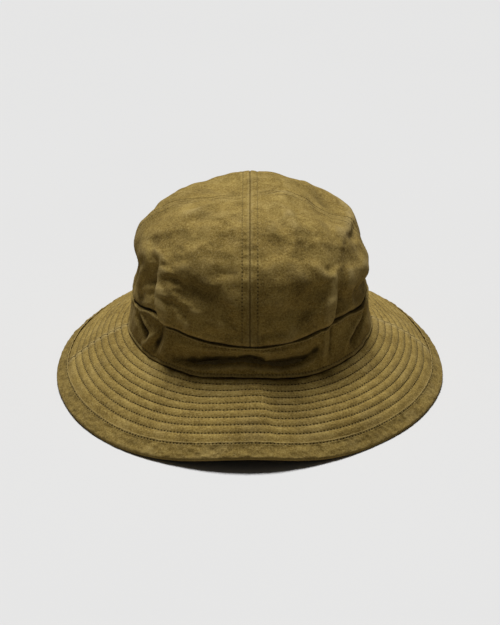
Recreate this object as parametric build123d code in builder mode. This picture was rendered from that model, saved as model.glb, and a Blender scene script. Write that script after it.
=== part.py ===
from build123d import *

import os
from math import acos, cos, exp, hypot, pi, radians, sin, sqrt

# A bucket hat of olive cotton twill: a crown of four gores, a side band, and a brim of two
# twill plies quilted over an interlining, bound at its edge.
#
# Millimetres, +Z up. The origin is the centre of the head opening, on the plane that the brim
# rests on. The front faces -Y, and +X is on the right of someone who looks at the front.
# A "turn" is an angle in degrees round the hat: 0 is the front, 90 is +X and 180 is the rear.

# Head seam, where the side band meets the brim: an oval.
head_half_width = 91.5
head_half_depth = 101.0
seam_height = 40.5  # at the sides and the rear
seam_front_rise = 3.5  # how much higher it is at the front
seam_front_spread = 22.0  # degrees over which that rise dies away

# Cloth and thread.
twill = 0.7
interlining = 0.6
crown_twill = 0.8
ply_gap = 0.15  # between the plies of the brim
seam_gap = 0.3  # between layers that meet in a seam
edge_gap = 0.1  # from a cut edge to its seam line
thread_radius = 0.25
thread_sides = 6  # flats of a thread's section
thread_gap = 0.05  # from the cloth to a thread that lies on it

# Side band.
band_top = 66.8
band_lean = 4.2  # how far the band leans inwards from its foot to its top
allowance = 8.0  # height of the seam allowances that are turned up behind the band

# Crown: superelliptic, flat on top and full at the shoulders.
crown_top = 148.0
crown_foot = 67.2
crown_overhang = 0.6  # beyond the band below it
crown_fullness = 2.75  # exponent of the superellipse
crown_half_width = head_half_width - band_lean + crown_overhang
crown_stretch = (head_half_depth - band_lean + crown_overhang) / crown_half_width
seam_row_offset = 5.5  # from a crown seam to the row of stitches on each side
crown_row_start = 0.028  # share of a crown row that is hidden below the crown's foot

# Brim.
brim_length = 68.5  # down the slope, from the head seam to the outside of the binding
brim_swell = 3.2  # how far the slope bulges above a straight line
brim_thickness = 2 * twill + interlining + 2 * ply_gap
brim_turn = 4.0  # the brim's side seams stand this far round from the crown's
quilting_pitch = 6.35
quilting_rows = 8
front_lift = 9.0  # the rim's height over the floor at the front centre
front_lift_spread = 18.0
side_lift = 2.5  # and at the two rear corners
side_lift_turn = 132.0
side_lift_spread = 24.0
lift_slack = 0.5  # share of the lift that the cloth takes up, so that the outline stays an oval

# Binding, a folded strip round the rim.
binding_width = 12.7
binding_gap = 0.15
binding_half_thickness = brim_thickness / 2 + binding_gap + twill
rim_sink = 0.25  # how much of the rim's round the floor flattens
binding_stitch_inset = 1.5  # from the binding's inner edge

# Rows of stitches on the side band.
band_foot_row = 2.3  # above the head seam
band_head_row = 2.2  # below the band's top

# Sweatband.
sweatband = 0.9
sweatband_drop = 1.2  # its foot hangs below the head seam
sweatband_knee = 58.5
sweatband_top = 74.0
sweatband_knee_inset = 6.5
sweatband_top_inset = 7.0
sweatband_hem = 2.0  # from its top edge down to the stitches of its hem

# Seam tapes inside the crown.
tape_width = 14.0
tape = 0.5
tape_foot = 69.0

# Care label: a folded tape that hangs inside, at the rear.
label_width = 26.0
label_length = 28.0
label_ply = 0.4
label_fold_gap = 0.2
label_hinge_height = 69.5
label_clearance = 0.4
label_row_rise = 0.9  # from the label's hinge line up to the stitches that hold it
label_row_half_turn = 8.0

section_step = 10  # degrees between the cross-sections of the brim and its neighbours
slope_stations = (0.0, 0.2, 0.4, 0.6, 0.8, 1.0)
profile_steps = 12

# Insets from the head seam to the outer face of each layer behind the band.
top_tab_inset = twill + seam_gap
under_tab_inset = top_tab_inset + twill + ply_gap
sweatband_inset = under_tab_inset + twill + seam_gap


# ---------------------------------------------------------------- shapes by formula


def fold_turn(turn):
    """The turn as an angle of 0 to 180 degrees from the front, on either side."""
    return abs((turn + 180) % 360 - 180)


def seam_z(turn):
    """Height of the head seam."""
    return seam_height + seam_front_rise * exp(-((fold_turn(turn) / seam_front_spread) ** 2))


def rim_lift(turn):
    """Height of the rim over the floor: it lifts at the front and at the rear corners."""
    front = front_lift * exp(-((fold_turn(turn) / front_lift_spread) ** 2))
    corner = (fold_turn(turn) - side_lift_turn) / side_lift_spread
    return front + side_lift * exp(-(corner**2))


def section_plane(turn):
    """Upright plane square to the head seam: local x runs outwards and local y is the height."""
    x = head_half_width * sin(radians(turn))
    y = -head_half_depth * cos(radians(turn))
    outward = Vector(x / head_half_width**2, y / head_half_depth**2, 0).normalized()
    return Plane(origin=(x, y, 0), x_dir=outward, z_dir=outward.cross(Vector(0, 0, 1)))


def brim_point(turn, slope, above):
    """A point of the brim in its section plane.

    slope is 0 at the head seam and 1 at the cut edge of the plies, and above is the distance
    from the middle of the brim's thickness.
    """
    start = seam_z(turn) - brim_thickness / 2
    fall = start - (rim_lift(turn) + binding_half_thickness - rim_sink)
    length = brim_length - binding_half_thickness
    chord = length - (pi * brim_swell) ** 2 / (4 * length)
    run = sqrt(chord**2 - (fall + lift_slack * rim_lift(turn)) ** 2)
    tangent_up = brim_swell * pi * cos(pi * slope) - fall
    tangent = hypot(run, tangent_up)
    out = run * slope - above * tangent_up / tangent
    up = start - fall * slope + brim_swell * sin(pi * slope) + above * run / tangent
    return out, up


def in_space(turn, point):
    """A point of a section plane as a point in space."""
    return section_plane(turn).from_local_coords(Vector(*point))


def lean_at(turn, height):
    """How far the side band has leaned inwards at a height."""
    return band_lean * (height - seam_z(turn)) / (band_top - seam_z(turn))


def crown_profile(inset, foot):
    """Points of the crown's side profile from its foot to its apex, moved inwards by inset."""
    radius = crown_half_width - inset
    height = crown_top - inset - foot
    power = 2 / crown_fullness
    angles = [pi / 2 * step / profile_steps for step in range(profile_steps)]
    curve = [(radius * cos(a) ** power, foot + height * sin(a) ** power) for a in angles]
    return curve + [(0, foot + height)]


def turns(first, last):
    """Evenly spaced turns from first to last, about section_step apart."""
    count = round((last - first) / section_step)
    return [first + (last - first) * i / count for i in range(count + 1)]


def seam_to_seam(first, last):
    """Turns from one seam of a piece to the next, clear of both seams by the edge gap."""
    margin = edge_gap / radians(head_half_width)
    return turns(first + margin, last - margin)


front_half = seam_to_seam(brim_turn - 90, brim_turn + 90)
rear_half = seam_to_seam(brim_turn + 90, brim_turn + 270)
whole_ring = seam_to_seam(-180, 180)


# ---------------------------------------------------------------- cross-sections


def polygon_section(turn, points):
    """Face with straight sides in the section plane of a turn."""
    with BuildSketch(section_plane(turn)) as section:
        with BuildLine():
            Polyline(*points, close=True)
        make_face()
    return section.sketch


def ply_section(turn, top, tab_inset=None):
    """One ply of the brim, whose top face is at a height above mid-thickness.

    With a tab inset, the ply runs in under the band and turns up behind it as an allowance.
    """
    bottom = top - (interlining if tab_inset is None else twill)
    slopes = [edge_gap / brim_length + s * (1 - edge_gap / brim_length) for s in slope_stations]
    with BuildSketch(section_plane(turn)) as section:
        with BuildLine():
            upper = Spline(*[brim_point(turn, s, top) for s in slopes])
            lower = Spline(*[brim_point(turn, s, bottom) for s in reversed(slopes)])
            Line(upper @ 1, lower @ 0)
            if tab_inset is None:
                Line(lower @ 1, upper @ 0)
            else:
                tab_top = seam_z(turn) + allowance
                tip = -tab_inset - lean_at(turn, tab_top)
                Polyline(
                    lower @ 1,
                    (-tab_inset - twill, (lower @ 1).Y),
                    (tip - twill, tab_top),
                    (tip, tab_top),
                    (-tab_inset, (upper @ 0).Y),
                    upper @ 0,
                )
        make_face()
    return section.sketch


def binding_frame(turn):
    """The rim's centre, and the binding's directions inwards and up, in the section plane."""
    rim = Vector(*brim_point(turn, 1, 0))
    inner = Vector(*brim_point(turn, 1 - binding_width / brim_length, 0))
    inward = (inner - rim).normalized()
    normal = Vector(inward.Y, -inward.X)
    return rim, inward, normal if normal.Y > 0 else -normal


def binding_section(turn):
    """The binding folded round the brim's cut edge, like a U that lies on its side."""
    rim, inward, normal = binding_frame(turn)
    outer_radius = binding_half_thickness
    inner_radius = outer_radius - twill
    leg = inward * (binding_width - outer_radius)
    with BuildSketch(section_plane(turn)) as section:
        with BuildLine():
            for radius in (outer_radius, inner_radius):
                upper = rim + normal * radius
                lower = rim - normal * radius
                Line(upper + leg, upper)
                ThreePointArc(upper, rim - inward * radius, lower)
                Line(lower, lower + leg)
            for side in (normal, -normal):
                Line(rim + side * outer_radius + leg, rim + side * inner_radius + leg)
        make_face()
    return section.sketch


def band_section(turn):
    """The side band, from the head seam up to the foot of the crown."""
    foot = seam_z(turn) + edge_gap
    return polygon_section(
        turn,
        [
            (0, foot),
            (-band_lean, band_top),
            (-band_lean - twill, band_top),
            (-twill, foot),
        ],
    )


def sweatband_section(turn):
    """The sweatband: it leans in clear of the allowances, then stands nearly upright."""
    foot = seam_z(turn) - sweatband_drop
    outer = [
        (-sweatband_inset, foot),
        (-sweatband_knee_inset, sweatband_knee),
        (-sweatband_top_inset, sweatband_top),
    ]
    inner = [(out - sweatband, up) for out, up in reversed(outer)]
    return polygon_section(turn, outer + inner)


# ---------------------------------------------------------------- crown


def crown_gore(first_seam):
    """A quarter of the crown, from the seam at an angle from +X to the next seam."""
    angle = radians(first_seam)
    along = Vector(cos(angle), sin(angle), 0)
    across = Vector(sin(angle), -cos(angle), 0)
    start = Plane(origin=(0, 0, 0), x_dir=along, z_dir=across)
    end = Plane(origin=(0, 0, 0), x_dir=-across, z_dir=along)
    tucked = crown_half_width - crown_overhang - twill - seam_gap
    ledge = crown_foot + crown_twill
    with BuildPart() as gore:
        with BuildSketch(start):
            with BuildLine():
                outer = Spline(*crown_profile(0, crown_foot))
                inner = Spline(*crown_profile(crown_twill, ledge))
                Line(outer @ 1, inner @ 1)
                Polyline(
                    outer @ 0,
                    (tucked, crown_foot),
                    (tucked, crown_foot - allowance),
                    (tucked - crown_twill, crown_foot - allowance),
                    (tucked - crown_twill, ledge),
                    inner @ 0,
                )
            make_face()
        revolve(axis=Axis.Z, revolution_arc=90)
        split(bisect_by=start.offset(-edge_gap), keep=Keep.BOTTOM)
        split(bisect_by=end.offset(edge_gap), keep=Keep.TOP)
        scale(by=(1, crown_stretch, 1))
    return gore


crown_rear_right = crown_gore(0)
crown_rear_left = crown_gore(90)
crown_front_left = crown_gore(180)
crown_front_right = crown_gore(270)


def crown_tape(inset, width, length):
    """A tape under a crown seam: a strip of a dome that lies inset below the crown's face."""
    with BuildPart() as strip:
        with BuildSketch(Plane.XZ):
            with BuildLine():
                outer = Spline(*crown_profile(inset, tape_foot))
                inner = Spline(*crown_profile(inset + tape, tape_foot))
                Line(outer @ 0, inner @ 0)
                Line(outer @ 1, inner @ 1)
            make_face()
        revolve(axis=Axis.Z)
        Box(width, length, crown_span, mode=Mode.INTERSECT)
        scale(by=(1, crown_stretch, 1))
    return strip


crown_span = 3 * head_half_depth  # more than the crown's size in any direction
centre_tape_inset = crown_twill + seam_gap
cross_tape_inset = centre_tape_inset + tape + ply_gap
crown_centre_tape = crown_tape(centre_tape_inset, tape_width, crown_span)
crown_cross_tape = crown_tape(cross_tape_inset, crown_span, tape_width / crown_stretch)


# ---------------------------------------------------------------- band, brim and sweatband


def lofted(sections):
    """One piece through a list of cross-sections."""
    with BuildPart() as piece:
        loft(sections=sections)
    return piece


middle_of_top = interlining / 2 + ply_gap
top_face = brim_thickness / 2

side_band = lofted([band_section(turn) for turn in whole_ring])
sweatband_ring = lofted([sweatband_section(turn) for turn in whole_ring])
brim_top_front = lofted([ply_section(turn, top_face, top_tab_inset) for turn in front_half])
brim_top_rear = lofted([ply_section(turn, top_face, top_tab_inset) for turn in rear_half])
brim_interlining_front = lofted([ply_section(turn, interlining / 2) for turn in front_half])
brim_interlining_rear = lofted([ply_section(turn, interlining / 2) for turn in rear_half])
brim_under_front = lofted([ply_section(turn, -middle_of_top, under_tab_inset) for turn in front_half])
brim_under_rear = lofted([ply_section(turn, -middle_of_top, under_tab_inset) for turn in rear_half])

with BuildPart() as brim_edge_binding:
    loft(sections=[binding_section(turn) for turn in whole_ring])
    split(bisect_by=Plane.XY, keep=Keep.TOP)


# ---------------------------------------------------------------- threads

off_cloth = thread_gap + thread_radius


def sewn(rows):
    """A thread along each list of points, as solids that stay separate."""
    strands = []
    for points in rows:
        with BuildPart() as strand:
            with BuildLine() as row:
                Spline(*points)
            with BuildSketch(Plane(origin=row.line @ 0, z_dir=row.line % 0)):
                RegularPolygon(thread_radius, thread_sides)
            sweep(path=row.line)
        strands.append(strand.part.solid())
    with BuildPart() as thread:
        add(strands, mode=Mode.REPLACE, clean=False)
    return thread


def ring_row(place):
    """Points all the way round from rear to rear, where place gives the point at each turn."""
    return [in_space(turn, place(turn)) for turn in whole_ring]


def quilting_row(slope, above):
    """One ring of brim quilting."""
    return ring_row(lambda turn: brim_point(turn, slope, above))


quilting_slopes = [quilting_pitch * (row + 1) / brim_length for row in range(quilting_rows)]
brim_needle_thread = sewn([quilting_row(slope, top_face + off_cloth) for slope in quilting_slopes])
brim_bobbin_thread = sewn([quilting_row(slope, -top_face - off_cloth) for slope in quilting_slopes])


def binding_row(side):
    """A ring of stitches on the binding's top leg (side 1) or under leg (side -1)."""
    reach = binding_width - binding_half_thickness - binding_stitch_inset
    points = []
    for turn in whole_ring:
        rim, inward, normal = binding_frame(turn)
        spot = rim + inward * reach + normal * side * (binding_half_thickness + off_cloth)
        points.append(in_space(turn, (spot.X, spot.Y)))
    return points


binding_thread = sewn([binding_row(1), binding_row(-1)])


def band_row(height_at):
    """A ring of stitches on the side band at the height that height_at gives for each turn."""
    return ring_row(lambda turn: (off_cloth - lean_at(turn, height_at(turn)), height_at(turn)))


band_lower_thread = sewn([band_row(lambda turn: seam_z(turn) + band_foot_row)])
band_upper_thread = sewn([band_row(lambda turn: band_top - band_head_row)])


def sweatband_inner(turn, height):
    """The sweatband's inner face at a height, moved in to where a thread lies on it."""
    foot = seam_z(turn) - sweatband_drop
    if height < sweatband_knee:
        share = (height - foot) / (sweatband_knee - foot)
        inset = sweatband_inset + share * (sweatband_knee_inset - sweatband_inset)
    else:
        share = (height - sweatband_knee) / (sweatband_top - sweatband_knee)
        inset = sweatband_knee_inset + share * (sweatband_top_inset - sweatband_knee_inset)
    return -inset - sweatband - off_cloth, height


sweatband_foot_row = ring_row(lambda turn: sweatband_inner(turn, seam_z(turn) + band_foot_row))
sweatband_hem_row = ring_row(lambda turn: sweatband_inner(turn, sweatband_top - sweatband_hem))
sweatband_thread = sewn([sweatband_foot_row, sweatband_hem_row])


def crown_point(sideways, angle):
    """How far along a crown seam, and how high, a row at a sideways distance lies."""
    power = 2 / crown_fullness
    radius = (crown_half_width + off_cloth) * cos(angle) ** power
    height = crown_foot + (crown_top + off_cloth - crown_foot) * sin(angle) ** power
    return sqrt(max(radius**2 - sideways**2, 0)), height


def crown_row(sideways, last_radius):
    """Points of one row, from the crown's foot up to last_radius from its apex."""
    reach = hypot(last_radius, sideways) / (crown_half_width + off_cloth)
    last_angle = acos(reach ** (crown_fullness / 2))
    first_angle = crown_row_start * last_angle
    span = last_angle - first_angle
    angles = [first_angle + span * step / profile_steps for step in range(profile_steps + 1)]
    return [crown_point(sideways, angle) for angle in angles]


centre_rows = []
for side in (1, -1):
    half_row = crown_row(seam_row_offset, 0)
    front_part = [(side * seam_row_offset, -along * crown_stretch, up) for along, up in half_row]
    rear_part = [(side * seam_row_offset, along * crown_stretch, up) for along, up in reversed(half_row[:-1])]
    centre_rows.append(front_part + rear_part)
crown_centre_thread = sewn(centre_rows)

cross_rows = []
cross_offset = seam_row_offset / crown_stretch
for side in (1, -1):
    for end in (1, -1):
        half_row = crown_row(cross_offset, tape_width / 2)
        cross_rows.append([(end * along, side * seam_row_offset, up) for along, up in half_row])
crown_cross_thread = sewn(cross_rows)


# ---------------------------------------------------------------- care label

label_half_thickness = label_ply + label_fold_gap / 2
inner_half_width = head_half_width - sweatband_top_inset - sweatband
inner_half_depth = head_half_depth - sweatband_top_inset - sweatband
touching_y = inner_half_depth * sqrt(1 - (label_width / 2 / inner_half_width) ** 2)
label_y = touching_y - label_clearance - label_half_thickness
label_fold_z = label_hinge_height - label_length + label_half_thickness

with BuildPart() as care_label:
    with BuildSketch(Plane.YZ.offset(-label_width / 2)):
        with BuildLine():
            for radius in (label_half_thickness, label_fold_gap / 2):
                Line((label_y - radius, label_hinge_height), (label_y - radius, label_fold_z))
                ThreePointArc(
                    (label_y - radius, label_fold_z),
                    (label_y, label_fold_z - radius),
                    (label_y + radius, label_fold_z),
                )
                Line((label_y + radius, label_fold_z), (label_y + radius, label_hinge_height))
            for side in (1, -1):
                Line(
                    (label_y + side * label_half_thickness, label_hinge_height),
                    (label_y + side * label_fold_gap / 2, label_hinge_height),
                )
        make_face()
    extrude(amount=label_width)

label_turns = [180 - label_row_half_turn, 180, 180 + label_row_half_turn]
label_row_height = label_hinge_height + label_row_rise
label_row = [in_space(turn, sweatband_inner(turn, label_row_height)) for turn in label_turns]
care_label_thread = sewn([label_row])


# ---------------------------------------------------------------- export

pieces = {
    "crown_front_left": crown_front_left,
    "crown_front_right": crown_front_right,
    "crown_rear_left": crown_rear_left,
    "crown_rear_right": crown_rear_right,
    "crown_centre_tape": crown_centre_tape,
    "crown_cross_tape": crown_cross_tape,
    "side_band": side_band,
    "sweatband": sweatband_ring,
    "brim_top_front": brim_top_front,
    "brim_top_rear": brim_top_rear,
    "brim_interlining_front": brim_interlining_front,
    "brim_interlining_rear": brim_interlining_rear,
    "brim_under_front": brim_under_front,
    "brim_under_rear": brim_under_rear,
    "brim_edge_binding": brim_edge_binding,
    "brim_needle_thread": brim_needle_thread,
    "brim_bobbin_thread": brim_bobbin_thread,
    "binding_thread": binding_thread,
    "band_lower_thread": band_lower_thread,
    "band_upper_thread": band_upper_thread,
    "sweatband_thread": sweatband_thread,
    "crown_centre_thread": crown_centre_thread,
    "crown_cross_thread": crown_cross_thread,
    "care_label": care_label,
    "care_label_thread": care_label_thread,
}
os.makedirs("parts", exist_ok=True)
for name, piece in pieces.items():
    piece.part.label = name
    export_step(piece.part, f"parts/{name}.step")
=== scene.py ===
import math

import bpy
import numpy as np
from mathutils.bvhtree import BVHTree
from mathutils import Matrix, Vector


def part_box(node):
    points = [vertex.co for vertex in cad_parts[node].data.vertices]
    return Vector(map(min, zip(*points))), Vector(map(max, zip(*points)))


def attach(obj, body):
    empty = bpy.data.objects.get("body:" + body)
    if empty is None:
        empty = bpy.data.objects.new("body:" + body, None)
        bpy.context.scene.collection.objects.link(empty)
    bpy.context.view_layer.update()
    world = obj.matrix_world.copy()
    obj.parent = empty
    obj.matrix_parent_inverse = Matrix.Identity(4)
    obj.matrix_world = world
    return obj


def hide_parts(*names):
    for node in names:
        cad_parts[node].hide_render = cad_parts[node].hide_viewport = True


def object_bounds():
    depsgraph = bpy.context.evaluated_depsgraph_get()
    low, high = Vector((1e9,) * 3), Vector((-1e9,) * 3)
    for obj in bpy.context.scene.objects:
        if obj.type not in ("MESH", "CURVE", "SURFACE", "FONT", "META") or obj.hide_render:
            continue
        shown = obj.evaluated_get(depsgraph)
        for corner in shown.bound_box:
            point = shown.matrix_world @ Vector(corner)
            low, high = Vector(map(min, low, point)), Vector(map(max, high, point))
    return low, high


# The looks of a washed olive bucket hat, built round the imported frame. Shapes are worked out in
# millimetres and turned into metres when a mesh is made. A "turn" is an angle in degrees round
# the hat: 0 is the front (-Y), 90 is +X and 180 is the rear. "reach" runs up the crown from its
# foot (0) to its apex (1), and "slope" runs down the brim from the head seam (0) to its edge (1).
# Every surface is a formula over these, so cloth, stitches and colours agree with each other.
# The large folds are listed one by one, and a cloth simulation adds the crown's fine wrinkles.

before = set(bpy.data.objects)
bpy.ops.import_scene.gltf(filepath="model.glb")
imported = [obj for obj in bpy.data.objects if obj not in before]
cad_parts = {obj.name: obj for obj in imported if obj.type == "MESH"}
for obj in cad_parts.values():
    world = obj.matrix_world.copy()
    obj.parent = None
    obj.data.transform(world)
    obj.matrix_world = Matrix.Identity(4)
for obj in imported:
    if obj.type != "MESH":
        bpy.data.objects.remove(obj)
cad_low, cad_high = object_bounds()

MM = 0.001


def span(node):
    """Lowest and highest corner of a CAD node, in millimetres."""
    low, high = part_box(node)
    return np.array(low) / MM, np.array(high) / MM


# ---------------------------------------------------------------- sizes, from the frame

_, band_high = span("side_band")
_, crown_high = span("crown_rear_right")
_, sweat_high = span("sweatband")
label_low, label_high = span("care_label")

head_half_width = band_high[0]
head_half_depth = band_high[1]
band_top = band_high[2]
crown_half_width = crown_high[0]
crown_stretch = crown_high[1] / crown_high[0]
crown_top = crown_high[2]
crown_foot = band_top + 0.4
crown_fullness = 2.75

twill = 0.7
crown_twill = 0.8
brim_thickness = 2.3
brim_length = 68.5
brim_swell = 3.2
brim_turn = 4.0
quilting_pitch = 6.35
quilting_rows = 8
binding_width = 12.7
binding_half = brim_thickness / 2 + 0.15 + twill
rim_sink = 0.25
floor_gap = 0.05
band_lean = 4.2
band_row = 2.3  # from each edge of the band to its row of stitches
band_round = 1.66  # millimetres of travel round the band for each degree
stitch_pitch = 2.6
row_offset = 5.5
apart = 99.0  # stands for "far from any row of stitches"


# ---------------------------------------------------------------- surfaces of the hat


def fold_turn(turn):
    """The turn as 0 to 180 degrees from the front, on either side."""
    return np.abs((turn + 180) % 360 - 180)


def signed_turn(turn):
    """The turn as -180 to 180 degrees, negative on the hat's left in a front view."""
    return (turn + 180) % 360 - 180


def bell(value, middle, width):
    """1 at the middle, falling off smoothly over the width on both sides."""
    return np.exp(-(((value - middle) / width) ** 2))


def ease(value, low, high):
    """0 below low, 1 above high, smooth between them; low may be above high."""
    share = np.clip((value - low) / (high - low), 0, 1)
    return share * share * (3 - 2 * share)


def seam_z(turn):
    """Height of the head seam, where the band meets the brim."""
    return 40.5 + 3.5 * bell(fold_turn(turn), 0, 22)


def rim_lift(turn):
    """Height of the rim over the floor."""
    return 9.0 * bell(fold_turn(turn), 0, 18) + 2.5 * bell(fold_turn(turn), 132, 24)


def ring_place(turn, out, up):
    """Points that stand out from the head seam's oval, square to it."""
    angle = np.radians(turn)
    x = head_half_width * np.sin(angle)
    y = -head_half_depth * np.cos(angle)
    across_x = x / head_half_width**2
    across_y = y / head_half_depth**2
    size = np.hypot(across_x, across_y)
    place = [x + out * across_x / size, y + out * across_y / size, up + 0 * x]
    return np.stack(np.broadcast_arrays(*place), axis=-1)


def rim_shift(turn):
    """How much further out than its pattern the worn rim lies."""
    side = signed_turn(turn)
    return 2.2 * bell(side, -38, 20) - 3.2 * bell(side, 44, 26) - 1.6 * bell(np.abs(side), 92, 26)


def seam_dip(turn):
    """How far the head seam sags on both sides of the front."""
    side = signed_turn(turn)
    return 1.0 * bell(side, 25, 13) + 0.3 * bell(side, -24, 10)


def brim_place(turn, slope, above):
    """Points of the brim; above is the distance from the middle of its thickness."""
    start = seam_z(turn) - brim_thickness / 2
    lift = rim_lift(turn)
    fall = start - (lift + binding_half - rim_sink)
    length = brim_length - binding_half
    chord = length - (math.pi * brim_swell) ** 2 / (4 * length)
    run = np.sqrt(chord**2 - (fall + 0.5 * lift) ** 2)
    tangent_up = brim_swell * math.pi * np.cos(math.pi * slope) - fall
    tangent = np.hypot(run, tangent_up)
    out = run * slope - above * tangent_up / tangent
    out = out + rim_shift(turn) * np.clip(slope, 0, 1) ** 2
    up = start - fall * slope + brim_swell * np.sin(math.pi * slope) + above * run / tangent
    up = up - seam_dip(turn) * np.clip(1 - slope, 0, 1) ** 2
    return ring_place(turn, out, up)


def crown_wave(turn):
    """How far the crown seam rises above its level on each side of the front."""
    side = signed_turn(turn)
    level = 6.0 * bell(fold_turn(turn), 48, 20) - 0.8 * bell(fold_turn(turn), 0, 12)
    kinks = 2.6 * bell(side, -56, 7) - 1.0 * bell(side, -43, 6) + 1.0 * bell(side, 52, 6)
    return level + kinks - 1.6 * bell(np.abs(side), 86, 12)


profile_angle = np.linspace(0, math.pi / 2, 600)
profile_radius = crown_half_width * np.cos(profile_angle) ** (2 / crown_fullness)
profile_height = (crown_top - crown_foot) * np.sin(profile_angle) ** (2 / crown_fullness)
profile_step = np.hypot(np.diff(profile_radius), np.diff(profile_height))
profile_length = np.concatenate([[0], np.cumsum(profile_step)])
crown_arc = profile_length[-1]


def crown_base(turn, reach):
    """Smooth crown surface, without folds, and its outward normals."""
    turn, reach = np.broadcast_arrays(turn, reach)
    radius = np.interp(reach * crown_arc, profile_length, profile_radius)
    height = np.interp(reach * crown_arc, profile_length, profile_height)
    angle = np.radians(turn)
    x = radius * np.sin(angle)
    y = -radius * np.cos(angle)
    share = np.maximum(radius / crown_half_width, 1e-4) ** (crown_fullness - 2)
    rise = (height / (crown_top - crown_foot)) ** (crown_fullness - 1)
    normal_x = share * x / crown_half_width**2
    normal_y = share * y / crown_half_width**2 / crown_stretch
    normal_z = rise / (crown_top - crown_foot)
    normal = np.stack([normal_x, normal_y, normal_z], axis=-1)
    normal /= np.linalg.norm(normal, axis=-1, keepdims=True)
    return np.stack([x, y * crown_stretch, crown_foot + height], axis=-1), normal


# ---------------------------------------------------------------- folds and ripples


def beside(u, v, line):
    """Distance from each (u, v) to a line of points, positive on its left, and the share along it."""
    best = np.full(np.shape(u), np.inf)
    side = np.zeros(np.shape(u))
    share = np.zeros(np.shape(u))
    last = len(line) - 1
    for i in range(last):
        (u0, v0), (u1, v1) = line[i], line[i + 1]
        du, dv = u1 - u0, v1 - v0
        along = np.clip(((u - u0) * du + (v - v0) * dv) / (du * du + dv * dv), 0, 1)
        gap = np.hypot(u - u0 - along * du, v - v0 - along * dv)
        nearer = gap < best
        best = np.where(nearer, gap, best)
        side = np.where(nearer, np.sign(du * (v - v0) - dv * (u - u0)), side)
        share = np.where(nearer, (i + along) / last, share)
    return best * side, share


def fold(u, v, line, height, left, right):
    """A ridge along a line, or a valley if height is negative.

    It falls off over left and right, its widths on the two sides, and dies out at its ends.
    """
    distance, share = beside(u, v, line)
    width = np.where(distance > 0, left, right)
    return height * np.sin(math.pi * share) ** 0.7 * bell(distance, 0, width)


def swelling(u, v, middle, size, height):
    """A round bulge, or a dent if height is negative."""
    return height * np.exp(-(((u - middle[0]) / size[0]) ** 2) - ((v - middle[1]) / size[1]) ** 2)


def ripple(points, wavelength, seed, count=28):
    """Smooth seeded unevenness of about unit size, with no preferred direction."""
    rng = np.random.default_rng(seed)
    direction = rng.normal(size=(count, 3))
    direction /= np.linalg.norm(direction, axis=1, keepdims=True)
    stretch = 2 * math.pi / wavelength * rng.uniform(0.7, 1.4, count)
    phase = rng.uniform(0, 2 * math.pi, count)
    total = np.zeros(points.shape[:-1])
    for i in range(count):
        total += np.cos(points @ (direction[i] * stretch[i]) + phase[i])
    return total * math.sqrt(2 / count)


def blurred(values, times):
    """The values of a grid, smoothed over their neighbours."""
    for _ in range(times):
        padded = np.pad(values, 2, mode="edge")
        values = (padded[:-4] + padded[1:-3] + padded[2:-2] + padded[3:-1] + padded[4:]) / 5
        values = (values[:, :-4] + values[:, 1:-3] + values[:, 2:-2] + values[:, 3:-1] + values[:, 4:]) / 5
    return values


# ---------------------------------------------------------------- meshes


def grid_normals(grid, ring):
    """Normals of a grid of points, up its rows and along its columns."""
    if ring:
        along = np.roll(grid, -1, axis=1) - np.roll(grid, 1, axis=1)
    else:
        along = np.gradient(grid, axis=1)
    up = np.gradient(grid, axis=0)
    normal = np.cross(along, up)
    return normal / np.maximum(np.linalg.norm(normal, axis=-1, keepdims=True), 1e-12)


def grid_faces(rows, columns, ring, offset, reverse):
    """Quads of a grid of points that starts at a vertex number."""
    wide = columns if ring else columns - 1
    i, j = np.meshgrid(np.arange(rows - 1), np.arange(wide), indexing="ij")
    k = (j + 1) % columns
    corners = [i * columns + j, i * columns + k, (i + 1) * columns + k, (i + 1) * columns + j]
    if reverse:
        corners.reverse()
    return np.stack([c.ravel() for c in corners], axis=1) + offset


def rim_faces(rows, columns, ring, count):
    """Quads that join the edges of an outer grid to those of an inner grid count vertices on."""
    faces = []
    j = np.arange(columns if ring else columns - 1)
    k = (j + 1) % columns
    top = (rows - 1) * columns
    faces.append(np.stack([k, j, j + count, k + count], axis=1))
    faces.append(np.stack([top + j, top + k, top + k + count, top + j + count], axis=1))
    if not ring:
        i = np.arange(rows - 1) * columns
        right = i + columns - 1
        faces.append(np.stack([i, i + columns, i + columns + count, i + count], axis=1))
        faces.append(np.stack([right + columns, right, right + count, right + columns + count], axis=1))
    return np.concatenate(faces)


def new_object(name, points, faces, material, body="hat"):
    """A smooth-shaded mesh of points in millimetres, that rides on a body.

    Its name is "cloth_" or "stitched_" and the CAD node that it replaces.
    """
    mesh = bpy.data.meshes.new(name)
    mesh.from_pydata((np.asarray(points).reshape(-1, 3) * MM).tolist(), [], faces)
    mesh.polygons.foreach_set("use_smooth", np.ones(len(mesh.polygons), bool))
    mesh.materials.append(material)
    made = bpy.data.objects.new(name, mesh)
    bpy.context.scene.collection.objects.link(made)
    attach(made, body)
    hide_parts(name.split("_", 1)[1])
    return made


def set_field(mesh, name, values):
    """Stores one number or one vector per vertex for the material to read."""
    values = np.asarray(values, np.float32)
    if values.ndim == 1:
        mesh.attributes.new(name, "FLOAT", "POINT").data.foreach_set("value", values)
    else:
        mesh.attributes.new(name, "FLOAT_VECTOR", "POINT").data.foreach_set("vector", values.ravel())


trees = {}


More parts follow.
